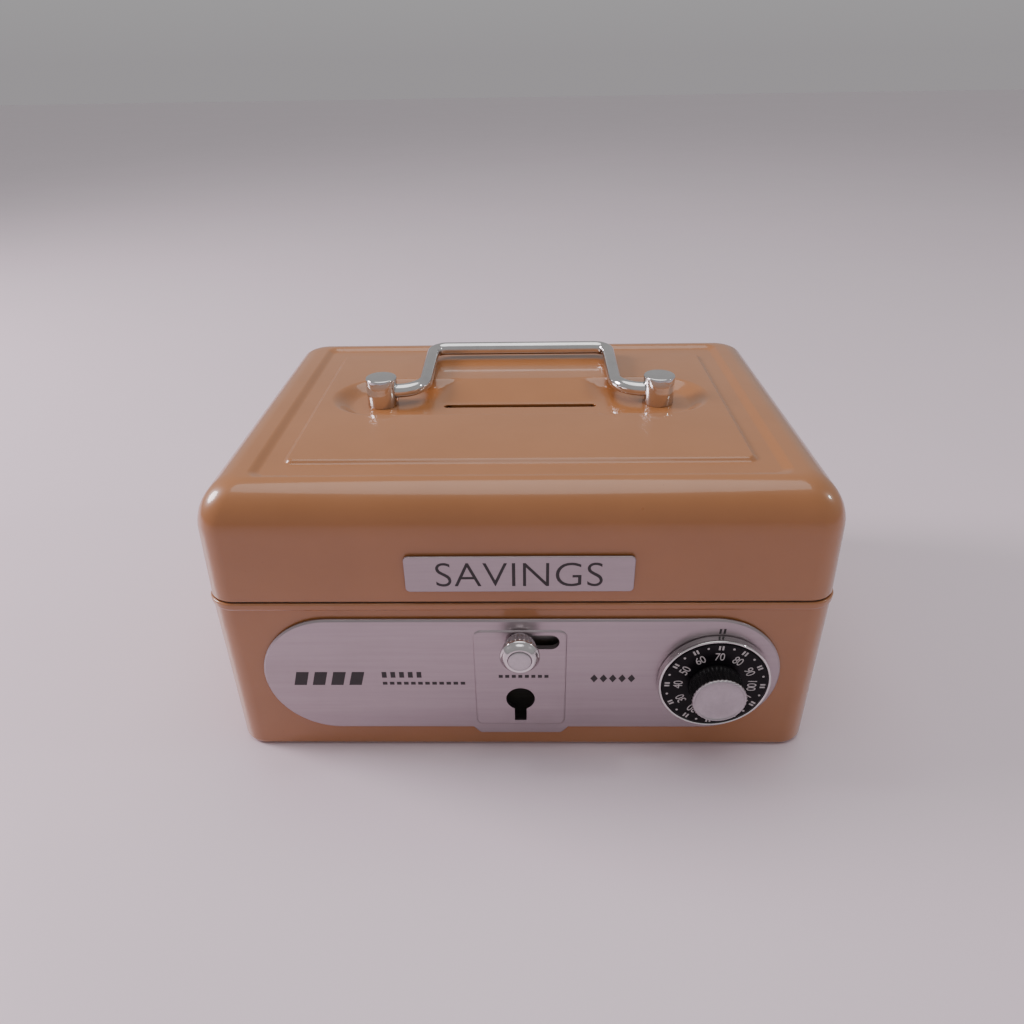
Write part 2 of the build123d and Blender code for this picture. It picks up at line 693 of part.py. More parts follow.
def hinge_leaf(direction, wall_y, first_knuckle, bore_radius):
    """One leaf of the hinge: direction is 1 for the lid's leaf, above the pin, and -1 for the base's."""
    half = HINGE_LENGTH / 2
    pitch = HINGE_LENGTH / HINGE_KNUCKLES
    heights = sorted((HINGE_Z + direction * HINGE_GAP, HINGE_Z + direction * LEAF_HEIGHT))
    leaf = box_between((-half, wall_y, heights[0]), (half, wall_y + LEAF_SHEET, heights[1]))
    leaf -= rod_x(-half - CUT, half + CUT, HINGE_Y, HINGE_Z, HINGE_RADIUS + HINGE_GAP)
    link_bottom, link_top = sorted((HINGE_Z, HINGE_Z + direction * (HINGE_RADIUS + 2 * CUT)))
    for index in range(first_knuckle, HINGE_KNUCKLES, 2):
        left = -half + index * pitch + HINGE_GAP / 2
        right = left + pitch - HINGE_GAP
        leaf += rod_x(left, right, HINGE_Y, HINGE_Z, HINGE_RADIUS)
        leaf += box_between((left, wall_y, link_bottom), (right, wall_y + LEAF_SHEET, link_top))
    return leaf - rod_x(-half - CUT, half + CUT, HINGE_Y, HINGE_Z, bore_radius)


def leaf_rivets(direction, wall_y):
    """The rivet heads that hold a hinge leaf, as a group."""
    outside = wall_y + LEAF_SHEET
    z = HINGE_Z + direction * LEAF_RIVET_Z
    heads = []
    for place in (-1, 0, 1):
        head = rod_y(place * LEAF_RIVET_PITCH, z, LEAF_RIVET_RADIUS, outside, outside + LEAF_RIVET_HEAD)
        heads.append(chamfer(head.faces().sort_by(Axis.Y)[-1].edges(), LEAF_RIVET_HEAD / 2))
    return Compound(children=heads)


def hinge_pin():
    half = HINGE_LENGTH / 2
    return rod_x(-half, half, HINGE_Y, HINGE_Z, HINGE_PIN_RADIUS)


def main():
    base = base_shell()
    rear_wall = BASE_DEPTH / 2
    lid_rear_wall = LID_DEPTH / 2
    nodes = {
        "base_shell": base,
        "rim_collar": rim_collar(),
        "front_plate": front_plate(),
        "lock_case": lock_case(),
        "case_screws": case_screws(),
        "guide_pins": guide_pins(),
        "spindle_bush": spindle_bush(),
        "hinge_leaf_base": hinge_leaf(-1, rear_wall, 0, HINGE_PIN_RADIUS) - base,
        "base_leaf_rivets": leaf_rivets(-1, rear_wall),
        "hinge_pin": hinge_pin(),
        "lid_shell": lid_shell(),
        "name_plaque": name_plaque(),
        "hinge_leaf_lid": hinge_leaf(1, lid_rear_wall, 1, HINGE_PIN_RADIUS + HINGE_BORE_CLEARANCE),
        "lid_leaf_rivets": leaf_rivets(1, lid_rear_wall),
        "lid_strike": lid_strike(),
        "strike_welds": strike_welds(),
        "post_left": handle_post(-1),
        "post_right": handle_post(1),
        "post_washers": post_washers(),
        "post_screws": post_screws(),
        "handle_bail": handle_bail(),
        "latch_slide": latch_slide(),
        "latch_stud": latch_stud(),
        "latch_knob": latch_knob(),
        "latch_knob_face": latch_knob_face(),
        "latch_spring": latch_spring(),
        "key_bolt": key_bolt(),
        "dial_disc": dial_disc(),
        "dial_rim": dial_rim(),
        "dial_knob": dial_knob(),
        "dial_cap": dial_cap(),
        "dial_spindle": dial_spindle(),
        "drive_wheel": wheel(0, SPINDLE_RADIUS),
        "middle_wheel": wheel(1, SPINDLE_RADIUS + WHEEL_CLEARANCE),
        "rear_wheel": wheel(2, SPINDLE_RADIUS + WHEEL_CLEARANCE),
        "wheel_spacers": wheel_spacers(),
        "spindle_clip": spindle_clip(),
    }
    os.makedirs("parts", exist_ok=True)
    for name, solid in nodes.items():
        export_step(solid, f"parts/{name}.step")


main()
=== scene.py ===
import json
import math

import bmesh
import bpy
from mathutils import Matrix, Vector


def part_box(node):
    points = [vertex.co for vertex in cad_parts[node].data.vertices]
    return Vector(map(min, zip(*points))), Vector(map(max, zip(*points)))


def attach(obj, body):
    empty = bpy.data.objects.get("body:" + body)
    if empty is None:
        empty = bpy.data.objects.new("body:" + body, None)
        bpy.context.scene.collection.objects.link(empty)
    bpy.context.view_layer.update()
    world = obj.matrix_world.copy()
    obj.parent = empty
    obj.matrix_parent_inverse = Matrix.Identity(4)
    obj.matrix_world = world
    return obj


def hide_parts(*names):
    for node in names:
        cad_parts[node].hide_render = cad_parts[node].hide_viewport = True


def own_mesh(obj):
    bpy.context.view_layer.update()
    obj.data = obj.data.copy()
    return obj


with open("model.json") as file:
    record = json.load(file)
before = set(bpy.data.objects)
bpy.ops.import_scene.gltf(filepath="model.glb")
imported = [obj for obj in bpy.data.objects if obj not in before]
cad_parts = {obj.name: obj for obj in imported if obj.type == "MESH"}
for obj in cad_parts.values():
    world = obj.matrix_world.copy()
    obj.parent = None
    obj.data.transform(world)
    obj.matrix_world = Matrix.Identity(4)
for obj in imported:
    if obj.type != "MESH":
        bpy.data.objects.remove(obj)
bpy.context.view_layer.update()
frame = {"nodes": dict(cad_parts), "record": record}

# The looks of a pressed-steel cash box with a coin slot.  Shapes are worked out in millimetres, and
# each mesh is scaled to metres as it is made.  Places come from the frame's boxes.

MM = 0.001
# Points along the side, the corner and the front of a quarter of a rounded rectangle.
QUARTER_SIDE_Y = 12
QUARTER_ARC = 14
QUARTER_SIDE_X = 18


# ---------------------------------------------------------------- frame boxes, in millimetres


def box_mm(node):
    """A node's lowest and highest corners, in millimetres."""
    low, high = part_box(node)
    return [v / MM for v in low], [v / MM for v in high]


def middle(node, axis):
    """The middle of a node's box along one axis."""
    low, high = box_mm(node)
    return (low[axis] + high[axis]) / 2


LID_LOW, LID_HIGH = box_mm("lid_shell")
BASE_HIGH = box_mm("base_shell")[1]
PLATE_LOW, PLATE_HIGH = box_mm("front_plate")
PLAQUE_LOW, PLAQUE_HIGH = box_mm("name_plaque")
DIAL_LOW, DIAL_HIGH = box_mm("dial_disc")
RIM_HIGH = box_mm("dial_rim")[1]
GRIP_LOW, GRIP_HIGH = box_mm("dial_knob")
CAP_LOW, CAP_HIGH = box_mm("dial_cap")
KNOB_LOW, KNOB_HIGH = box_mm("latch_knob")
WIRE_HIGH = box_mm("handle_bail")[1]
POST_LOW, POST_HIGH = box_mm("post_right")

DIAL_X = middle("dial_disc", 0)
DIAL_Z = middle("dial_disc", 2)
LATCH_X = middle("latch_knob", 0)
LATCH_Z = middle("latch_knob", 2)
POST_X = middle("post_right", 0)
POST_Y = middle("post_right", 1)

SHEET = 0.8
BASE_FRONT = PLATE_HIGH[1]
PANEL_FRONT = PLATE_LOW[1]
PANEL_HEIGHT = 0.7
PANEL_SUNK = 0.3
PLATE_HEIGHT = 38.0
PLATE_FRONT = PANEL_FRONT + PANEL_HEIGHT
PLATE_BOTTOM = PLATE_HIGH[2] - PLATE_HEIGHT
PANEL_FACE = PANEL_FRONT + PANEL_SUNK
KEY_HEAD_RADIUS = 3.9
KEY_HEAD_Z = 19.25
KEY_SLOT_HALF = 1.63
KEY_BOTTOM = 11.3
LATCH_SLOT_RADIUS = 2.3
BUSH_HOLE_RADIUS = 4.05
HIDDEN_GAP = 0.8
LATCH_TRAVEL = 8.0
INK_PROUD = 0.03
INK_SUNK = 0.02
WIRE_RADIUS = 2.1
WIRE_Z = 83.6
HANDLE_REACH = 34.8
HANDLE_LIFT = math.radians(2.4)


# ---------------------------------------------------------------- mesh helpers


def finish_mesh(name, bm, smooth=True):
    """Turns a bmesh in millimetres into an object in metres."""
    bmesh.ops.remove_doubles(bm, verts=bm.verts, dist=0.004)
    bmesh.ops.recalc_face_normals(bm, faces=bm.faces)
    bmesh.ops.scale(bm, vec=(MM, MM, MM), verts=bm.verts)
    mesh = bpy.data.meshes.new(name)
    bm.to_mesh(mesh)
    bm.free()
    for polygon in mesh.polygons:
        polygon.use_smooth = smooth
    piece = bpy.data.objects.new(name, mesh)
    bpy.context.scene.collection.objects.link(piece)
    return piece


def add_rings(bm, rings, cyclic=False, cap_first=False, cap_last=False):
    """Joins rings of equal length with quads."""
    rows = [[bm.verts.new(point) for point in ring] for ring in rings]
    count = len(rows[0])
    pairs = list(zip(rows, rows[1:]))
    if cyclic:
        pairs.append((rows[-1], rows[0]))
    for a, b in pairs:
        for i in range(count):
            j = (i + 1) % count
            bm.faces.new((a[i], a[j], b[j], b[i]))
    if cap_first:
        bm.faces.new(rows[0])
    if cap_last:
        bm.faces.new(rows[-1])


def rounded_ring(half_x, half_y, radius, z, centre_y=0.0):
    """One ring of a rounded rectangle, with the same number of points whatever its size."""
    radius = min(radius, half_x, half_y)
    side_y = half_y - radius
    side_x = half_x - radius
    quarter = [(half_x, side_y * i / QUARTER_SIDE_Y) for i in range(QUARTER_SIDE_Y)]
    for i in range(QUARTER_ARC):
        angle = math.pi / 2 * i / QUARTER_ARC
        quarter.append((side_x + radius * math.cos(angle), side_y + radius * math.sin(angle)))
    quarter += [(side_x * (1 - i / QUARTER_SIDE_X), half_y) for i in range(QUARTER_SIDE_X + 1)]
    ring = list(quarter)
    ring += [(-x, y) for x, y in reversed(quarter[:-1])]
    ring += [(-x, -y) for x, y in quarter[1:]]
    ring += [(x, -y) for x, y in reversed(quarter[1:-1])]
    return [(x, y + centre_y, z) for x, y in ring]


def ring_about(centre, across, up, radius, count):
    """A circle of points about a centre, in the plane of two directions."""
    turns = [2 * math.pi * i / count for i in range(count)]
    return [centre + radius * (across * math.cos(turn) + up * math.sin(turn)) for turn in turns]


def lathe_y(name, profile, centre, segments, shape=None):
    """Turns a profile of (radius, y) about an axis along Y.  shape changes a radius by its angle."""
    bm = bmesh.new()
    rings = []
    for radius, y in profile:
        ring = []
        for i in range(segments):
            angle = 2 * math.pi * i / segments
            r = shape(radius, y, angle) if shape else radius
            ring.append((centre[0] + r * math.cos(angle), y, centre[1] + r * math.sin(angle)))
        rings.append(ring)
    add_rings(bm, rings)
    return finish_mesh(name, bm)


def arc_points(centre, radius, start, end, steps):
    """Points along an arc, in degrees, both ends included."""
    points = []
    for i in range(steps + 1):
        angle = math.radians(start + (end - start) * i / steps)
        points.append((centre[0] + radius * math.cos(angle), centre[1] + radius * math.sin(angle)))
    return points


def rounded_outline(left, right, bottom, top, radius, steps=10):
    """A rounded rectangle's outline in X and Z."""
    outline = arc_points((right - radius, top - radius), radius, 0, 90, steps)
    outline += arc_points((left + radius, top - radius), radius, 90, 180, steps)
    outline += arc_points((left + radius, bottom + radius), radius, 180, 270, steps)
    outline += arc_points((right - radius, bottom + radius), radius, 270, 360, steps)
    return outline


def prism_y(name, outline, front, back):
    """A flat plate: an outline in X and Z, between two places in Y."""
    bm = bmesh.new()
    rings = [[(x, y, z) for x, z in outline] for y in (front, back)]
    add_rings(bm, rings, cap_first=True, cap_last=True)
    return finish_mesh(name, bm, smooth=False)


def apply_modifiers(piece):
    """Makes a piece's modifiers part of its mesh."""
    graph = bpy.context.evaluated_depsgraph_get()
    mesh = bpy.data.meshes.new_from_object(piece.evaluated_get(graph))
    old = piece.data
    piece.modifiers.clear()
    piece.data = mesh
    bpy.data.meshes.remove(old)


def combine(piece, tools, operation):
    """Cuts tools out of a piece, or adds them to it, and removes the tools."""
    for tool in tools:
        modifier = piece.modifiers.new(operation, "BOOLEAN")
        modifier.operation = operation
        modifier.solver = "EXACT"
        modifier.object = tool
    apply_modifiers(piece)
    for tool in tools:
        bpy.data.objects.remove(tool)


def weight_normals(piece):
    """Shades a piece's curves evenly, and makes its modifiers part of its mesh."""
    piece.modifiers.new("normals", "WEIGHTED_NORMAL")
    apply_modifiers(piece)


def soften(piece, width, angle=28, segments=3):
    """Rounds a piece's sharp edges, and shades it smooth."""
    bevel = piece.modifiers.new("edges", "BEVEL")
    bevel.width = width * MM
    bevel.segments = segments
    bevel.limit_method = "ANGLE"
    bevel.angle_limit = math.radians(angle)
    for polygon in piece.data.polygons:
        polygon.use_smooth = True
    weight_normals(piece)


def smoothstep(t):
    """0 to 1 with level ends."""
    t = max(0.0, min(1.0, t))
    return t * t * (3 - 2 * t)


def place(piece, body, material, replaced=()):
    """Gives a piece its body and material, and hides the nodes that it stands for."""
    piece.data.materials.clear()
    piece.data.materials.append(material)
    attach(piece, body)
    if replaced:
        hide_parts(*replaced)


# ---------------------------------------------------------------- materials


class Nodes:
    """A short way to build one node material."""

    def __init__(self, name):
        self.material = bpy.data.materials.new(name)
        self.material.use_nodes = True
        self.tree = self.material.node_tree
        self.shader = self.tree.nodes["Principled BSDF"]
        self.place = self.add("ShaderNodeTexCoord").outputs["Object"]

    def add(self, kind, **values):
        node = self.tree.nodes.new(kind)
        for key, value in values.items():
            setattr(node, key, value)
        return node

    def link(self, source, target):
        self.tree.links.new(source, target)

    def stretched(self, scale):
        """Object coordinates, scaled along each axis."""
        mapping = self.add("ShaderNodeMapping")
        mapping.inputs["Scale"].default_value = scale
        self.link(self.place, mapping.inputs["Vector"])
        return mapping.outputs["Vector"]

    def noise(self, scale, detail=3.0, roughness=0.5, stretch=(1, 1, 1)):
        node = self.add("ShaderNodeTexNoise")
        node.inputs["Scale"].default_value = scale
        node.inputs["Detail"].default_value = detail
        node.inputs["Roughness"].default_value = roughness
        self.link(self.stretched(stretch), node.inputs["Vector"])
        return node.outputs["Fac"]

    def range(self, source, low, high, start=0.0, end=1.0):
        """Maps a value from start..end to low..high."""
        node = self.add("ShaderNodeMapRange")
        node.inputs["From Min"].default_value = start
        node.inputs["From Max"].default_value = end
        node.inputs["To Min"].default_value = low
        node.inputs["To Max"].default_value = high
        self.link(source, node.inputs["Value"])
        return node.outputs["Result"]

    def mix(self, factor, a, b):
        """Mixes two colours, each a colour or an output, by a factor output."""
        node = self.add("ShaderNodeMix", data_type="RGBA")
        self.link(factor, node.inputs["Factor"])
        for value, socket in ((a, node.inputs["A"]), (b, node.inputs["B"])):
            self.feed(value, socket)
        return node.outputs["Result"]

    def feed(self, value, socket):
        if isinstance(value, tuple):
            socket.default_value = value
        else:
            self.link(value, socket)

    def bump(self, source, strength, distance=0.0002, before=None):
        node = self.add("ShaderNodeBump")
        node.inputs["Strength"].default_value = strength
        node.inputs["Distance"].default_value = distance
        self.link(source, node.inputs["Height"])
        if before is not None:
            self.link(before, node.inputs["Normal"])
        return node.outputs["Normal"]

    def set(self, **values):
        for key, value in values.items():
            self.shader.inputs[key.replace("_", " ")].default_value = value

    def wear(self, low, high):
        """How far a spot stands on a worn outer edge, from 0 to 1, broken up by noise."""
        sharp = self.range(self.add("ShaderNodeNewGeometry").outputs["Pointiness"], 0, 1, low, high)
        node = self.add("ShaderNodeMath", operation="MULTIPLY")
        self.link(sharp, node.inputs[0])
        self.link(self.range(self.noise(700, 4), 0, 1, 0.5, 0.72), node.inputs[1])
        return node.outputs["Value"]


def shade(colour, factor, lift=0.0):
    """A colour made darker by a factor, then lighter by a fixed amount."""
    return tuple(c * factor + lift for c in colour[:3]) + (1,)


WORN_METAL = (0.36, 0.27, 0.21, 1)
STAIN = (0.30, 0.27, 0.26, 1)
PIT_GREY = (0.16, 0.16, 0.16, 1)


def paint_material(name, colour, dark):
    """Stove enamel: a slight mottle, orange peel, tiny specks, and thin wear along outer edges."""
    m = Nodes(name)
    mottle = m.mix(m.range(m.noise(38, 4, 0.6), 0, 1, 0.35, 0.65), dark, colour)
    specks = m.range(m.noise(1100, 2, 0.4), 0, 0.35, 0.76, 0.82)
    speckled = m.mix(specks, mottle, shade(dark, 0.6))
    worn = m.mix(m.wear(0.64, 0.72), speckled, WORN_METAL)
    m.link(worn, m.shader.inputs["Base Color"])
    m.link(m.range(m.noise(120, 4), 0.24, 0.38), m.shader.inputs["Roughness"])
    peel = m.bump(m.noise(420, 2, 0.4), 0.10, 0.0001)
    m.link(m.bump(m.noise(60, 1), 0.06, 0.0004, peel), m.shader.inputs["Normal"])
    m.set(Coat_Weight=0.75, Coat_Roughness=0.06, Specular_IOR_Level=0.5)
    return m.material


def brushed_material(name, colour, dark, stretch, roughness=(0.3, 0.46), depth=0.14):
    """Metal with a fine grain along one axis, faint stains and a few scratches."""
    m = Nodes(name)
    grain = m.noise(900, 5, 0.7, stretch)
    wide = m.noise(160, 3, 0.5, stretch)
    tone = m.mix(m.range(grain, 0, 1, 0.3, 0.7), dark, colour)
    toned = m.mix(m.range(wide, 0, 0.35, 0.3, 0.75), tone, shade(dark, 0.8))
    stain = m.range(m.noise(55, 4, 0.65), 0, 0.16, 0.5, 0.8)
    m.link(m.mix(stain, toned, STAIN), m.shader.inputs["Base Color"])
    m.link(m.range(grain, roughness[0], roughness[1], 0.3, 0.7), m.shader.inputs["Roughness"])
    m.link(m.bump(grain, depth, 0.00005), m.shader.inputs["Normal"])
    m.set(Metallic=1.0)
    return m.material


def chrome_material(name, colour=(0.72, 0.70, 0.70, 1), roughness=(0.05, 0.16)):
    """Polished plating with smears, fine pits and a slightly darker haze."""
    m = Nodes(name)
    smears = m.range(m.noise(90, 4, 0.6), 0, 1, 0.35, 0.7)
    haze = m.mix(smears, colour, shade(colour, 0.86))
    pits = m.range(m.noise(2600, 2, 0.5), 0, 1, 0.72, 0.8)
    m.link(m.mix(pits, haze, PIT_GREY), m.shader.inputs["Base Color"])
    rough = m.range(m.noise(180, 5, 0.6), roughness[0], roughness[1], 0.3, 0.75)
    m.link(rough, m.shader.inputs["Roughness"])
    m.link(m.bump(m.noise(500, 2), 0.03, 0.00005), m.shader.inputs["Normal"])
    m.set(Metallic=1.0)
    return m.material


def plastic_material(name, colour, roughness, gloss):
    """Moulded gloss plastic with dust and faint scuffs."""
    m = Nodes(name)
    dust = m.range(m.noise(240, 5, 0.65), 0, 0.35, 0.52, 0.8)
    m.link(m.mix(dust, colour, shade(colour, 1.0, 0.02)), m.shader.inputs["Base Color"])
    scuffs = m.range(m.noise(300, 4), roughness[0], roughness[1], 0.3, 0.7)
    m.link(scuffs, m.shader.inputs["Roughness"])
    m.link(m.bump(m.noise(1500, 2), 0.05, 0.00004), m.shader.inputs["Normal"])
    m.set(Specular_IOR_Level=gloss)
    return m.material


def ink_material(name, colour):
    """Printed ink, slightly uneven."""
    m = Nodes(name)
    patches = m.range(m.noise(1400, 3), 0, 1, 0.35, 0.75)
    m.link(m.mix(patches, colour, shade(colour, 0.72, 0.01)), m.shader.inputs["Base Color"])
    m.link(m.range(m.noise(600), 0.45, 0.62), m.shader.inputs["Roughness"])
    return m.material


def floor_material():
    """A plain pale floor."""
    m = Nodes("floor")
    tone = m.mix(m.noise(6, 3), (0.75, 0.63, 0.70, 1), (0.79, 0.66, 0.74, 1))
    m.link(tone, m.shader.inputs["Base Color"])
    m.link(m.range(m.noise(30), 0.3, 0.4), m.shader.inputs["Roughness"])
    return m.material


TAN = (0.385, 0.150, 0.049, 1)
TAN_DARK = (0.360, 0.139, 0.044, 1)
PAINT = paint_material("tan_enamel", TAN, TAN_DARK)
# The plate's pinkish tint is a painted reflection: it copies the pink of the floor that the plate reflects.
PLATE_METAL = brushed_material(
    "brushed_plate", (0.48, 0.412, 0.435, 1), (0.405, 0.345, 0.365, 1), (0.03, 1, 1)
)
PLAQUE_METAL = brushed_material(
    "brushed_plaque", (0.47, 0.40, 0.425, 1), (0.40, 0.345, 0.362, 1), (0.05, 1, 1), (0.34, 0.5), 0.08
)
CHROME = chrome_material("chrome")
KNOB_CHROME = chrome_material("knob_chrome", (0.70, 0.66, 0.67, 1), (0.08, 0.2))
SPUN_METAL = brushed_material(
    "spun_face", (0.51, 0.47, 0.495, 1), (0.43, 0.395, 0.418, 1), (1, 1, 1), (0.3, 0.42), 0.05
)
BUTTON_METAL = brushed_material(
    "button_face", (0.62, 0.58, 0.60, 1), (0.50, 0.47, 0.49, 1), (1, 1, 1), (0.3, 0.5), 0.25
)
STEEL = brushed_material("bare_steel", (0.46, 0.45, 0.44, 1), (0.36, 0.35, 0.34, 1), (0.12, 1, 1))
ZINC = brushed_material("bright_zinc", (0.58, 0.57, 0.54, 1), (0.46, 0.45, 0.42, 1), (1, 1, 1))
BRASS = brushed_material("stamped_brass", (0.68, 0.50, 0.22, 1), (0.56, 0.40, 0.16, 1), (1, 0.3, 1))
SPRING_STEEL = brushed_material("spring_steel", (0.36, 0.36, 0.37, 1), (0.26, 0.26, 0.27, 1), (1, 1, 1))
BLACK = plastic_material("dial_black", (0.005, 0.004, 0.006, 1), (0.25, 0.4), 0.16)
GRIP_BLACK = plastic_material("grip_black", (0.010, 0.009, 0.010, 1), (0.16, 0.28), 0.5)
WHITE_INK = ink_material("white_ink", (0.62, 0.58, 0.58, 1))
BLACK_INK = ink_material("black_ink", (0.028, 0.022, 0.024, 1))

NODE_MATERIALS = {
    "base_paint": PAINT,
    "lid_paint": PAINT,
    "inner_steel": STEEL,
    "plate_aluminium": PLATE_METAL,
    "plaque_metal": PLAQUE_METAL,
    "zinc_hardware": ZINC,
    "hinge_steel": PAINT,
    "brass_bush": BRASS,
    "brass_works": BRASS,
    "post_chrome": CHROME,
    "handle_chrome": CHROME,
    "knob_chrome": KNOB_CHROME,
    "knob_face": BUTTON_METAL,
    "spring_steel": SPRING_STEEL,
    "dial_black": BLACK,
    "dial_black_grip": GRIP_BLACK,
    "dial_chrome": CHROME,
    "dial_cap_metal": SPUN_METAL,
}


def dress_frame():
    """Gives every carried-over node the material of its slot."""
    slots = {entry["node"]: entry["material_slot"] for entry in frame["record"]["subparts"]}
    for name, node in frame["nodes"].items():
        material = NODE_MATERIALS[slots[name]]
        for slot in node.material_slots:
            slot.material = material


# ---------------------------------------------------------------- camera, light and floor


def make_camera():
    """The camera, from a fit to the box's edges, at the photograph's viewing angle."""
    camera = bpy.data.objects.new("camera", bpy.data.cameras.new("camera"))
    bpy.context.scene.collection.objects.link(camera)
    camera.data.sensor_width = 36.0
    camera.data.lens = 27.38
    camera.data.clip_start = 0.01
    forward = Vector((-0.0204, 0.8627, -0.5052)).normalized()
    up = Vector((0.0048, 0.5054, 0.8629))
    right = forward.cross(up).normalized()
    up = right.cross(forward)
    turn = Matrix((right, up, -forward)).transposed()
    camera.matrix_world = Matrix.Translation(Vector((2.24, -219.0, 170.85)) * MM) @ turn.to_4x4()
    bpy.context.scene.camera = camera


def area_light(name, position, target, size, power, colour=(1, 1, 1)):
    light = bpy.data.objects.new(name, bpy.data.lights.new(name, "AREA"))
    bpy.context.scene.collection.objects.link(light)
    light.data.shape = "DISK"
    light.data.size = size
    light.data.energy = power
    light.data.color = colour
    light.location = position
    light.rotation_euler = (Vector(target) - Vector(position)).to_track_quat("-Z", "Y").to_euler()


HORIZON = (0.685, 0.65, 0.675, 1)
SKY = (0.80, 0.80, 0.80, 1)
HORIZON_BAND = 0.12
FLOOR_REACH = 4000


def make_stage():
    """Soft studio light, a sky that fades to the floor's tone at the horizon, and a flat floor."""
    world = bpy.data.worlds.new("studio")
    bpy.context.scene.world = world
    world.use_nodes = True
    tree = world.node_tree
    sky = tree.nodes["Background"]
    sky.inputs["Strength"].default_value = 0.50
    direction = tree.nodes.new("ShaderNodeTexCoord")
    split = tree.nodes.new("ShaderNodeSeparateXYZ")
    height = tree.nodes.new("ShaderNodeMapRange")
    height.inputs["From Max"].default_value = HORIZON_BAND
    tone = tree.nodes.new("ShaderNodeMix")
    tone.data_type = "RGBA"
    tone.inputs["A"].default_value = HORIZON
    tone.inputs["B"].default_value = SKY
    tree.links.new(direction.outputs["Generated"], split.inputs["Vector"])
    tree.links.new(split.outputs["Z"], height.inputs["Value"])
    tree.links.new(height.outputs["Result"], tone.inputs["Factor"])
    tree.links.new(tone.outputs["Result"], sky.inputs["Color"])
    area_light("key", (-0.80, 0.12, 0.50), (0, 0, 0.05), 0.32, 7.2, (1.0, 0.88, 0.94))
    area_light("fill", (0.72, -0.05, 0.50), (0, 0, 0.05), 0.06, 0.6)
    area_light("overhead", (0.0, 0.10, 1.3), (0, 0, 0.05), 1.3, 7.6)
    bm = bmesh.new()
    corners = ((-1, -1), (1, -1), (1, 1), (-1, 1))
    bm.faces.new([bm.verts.new((x * FLOOR_REACH, y * FLOOR_REACH, 0)) for x, y in corners])
    floor = finish_mesh("floor", bm)
    floor.data.materials.append(floor_material())


# ---------------------------------------------------------------- pressed body


def wall_back(point, thickness):
    """The inner twin of a profile point (half_x, half_y, radius, z, centre_y, upward)."""
    half_x, half_y, radius, z, centre_y, upward = point
    side = math.sqrt(max(0.0, 1 - upward * upward)) * thickness
    return (half_x - side, half_y - side, max(radius - side, 0.3), z - upward * thickness, centre_y, upward)


# The pressed groove round the lid's top: half width, half depth and corner radius at each edge.
GROOVE_OUTER = (68.4, 49.6, 3.4)
GROOVE_INNER = (61.2, 41.3, 2.4)
GROOVE_OUTER_RUN = 2.9
GROOVE_INNER_RUN = 1.6
GROOVE_DEPTH = 1.0
HEM_HEIGHT = 0.35
RECESS_HALF = (57.3, 14.9)
RECESS_RUN = (6.6, 4.2)
RECESS_DEPTH = 2.6
RECESS_FLOOR = LID_HIGH[2] - RECESS_DEPTH
RECESS_Y = POST_Y
RAMP_HALF = 22.0
RAMP_BACK = 17.4
SLOT_Y = 1.0
SLOT_HALF = (23.0, 1.2)
SLOT_LIP = 0.3
RAMP_GAP = 0.6
RAMP_EASE = 0.12


def groove_side(edge, run, start, end):
    """Rings across one sloping side of the pressed groove, from height start to height end."""
    half_x, half_y, radius = edge
    points = []
    rows = 8
    for i in range(rows + 1):
        t = i / rows
        z = start + (end - start) * smoothstep(t)
        points.append((half_x - run * t, half_y - run * t, radius - t, z, 0, 1))
    return points


def lid_profile():
    """The lid's outer skin, as rings from its bottom edge to the coin slot."""
    half_x, half_y = LID_HIGH[0], LID_HIGH[1]
    bottom, top = LID_LOW[2], LID_HIGH[2]
    draft = 0.4
    edge_in, edge_down = 9.6, 11.9
    corner, corner_top = 7.5, 4.2
    points = []
    for inset, height, upward in ((0.45, 0, -0.6), (0.15, 0.08, 0), (0, HEM_HEIGHT, 0)):
        ring = (half_x - inset, half_y - inset, corner - inset, bottom + height, 0, upward)
        points.append(ring)
    wall_rows = 6
    for i in range(1, wall_rows + 1):
        t = i / wall_rows
        inset = draft * t
        z = bottom + HEM_HEIGHT + (top - edge_down - bottom - HEM_HEIGHT) * t
        points.append((half_x - inset, half_y - inset, corner, z, 0, 0))
    arc_rows = 16
    for i in range(1, arc_rows + 1):
        angle = math.pi / 2 * i / arc_rows
        inset = draft + edge_in * (1 - math.cos(angle))
        z = top - edge_down * (1 - math.sin(angle))
        radius = corner + (corner_top - corner) * (1 - math.cos(angle))
        points.append((half_x - inset, half_y - inset, radius, z, 0, math.sin(angle)))
    points += groove_side(GROOVE_OUTER, GROOVE_OUTER_RUN, top, top - GROOVE_DEPTH)
    points += groove_side(GROOVE_INNER, GROOVE_INNER_RUN, top - GROOVE_DEPTH, top)
    rows = 12
    for i in range(rows + 1):
        t = i / rows
        wide, deep = RECESS_HALF[0] - RECESS_RUN[0] * t, RECESS_HALF[1] - RECESS_RUN[1] * t
        points.append((wide, deep, deep, top - RECESS_DEPTH * smoothstep(t), RECESS_Y, 1))
    wide, deep = points[-1][0], points[-1][1]
    rows = 14
    for i in range(1, rows):
        t = i / rows
        x = wide + (SLOT_HALF[0] + SLOT_LIP - wide) * t
        y = deep + (SLOT_HALF[1] + SLOT_LIP - deep) * t
        points.append((x, y, y, RECESS_FLOOR, RECESS_Y + (SLOT_Y - RECESS_Y) * t, 1))
    for grow, drop in ((SLOT_LIP, 0.0), (0.12, 0.05), (0.0, 0.22)):
        x, y = SLOT_HALF[0] + grow, SLOT_HALF[1] + grow
        points.append((x, y, y, RECESS_FLOOR - drop, SLOT_Y, 1))
    return points


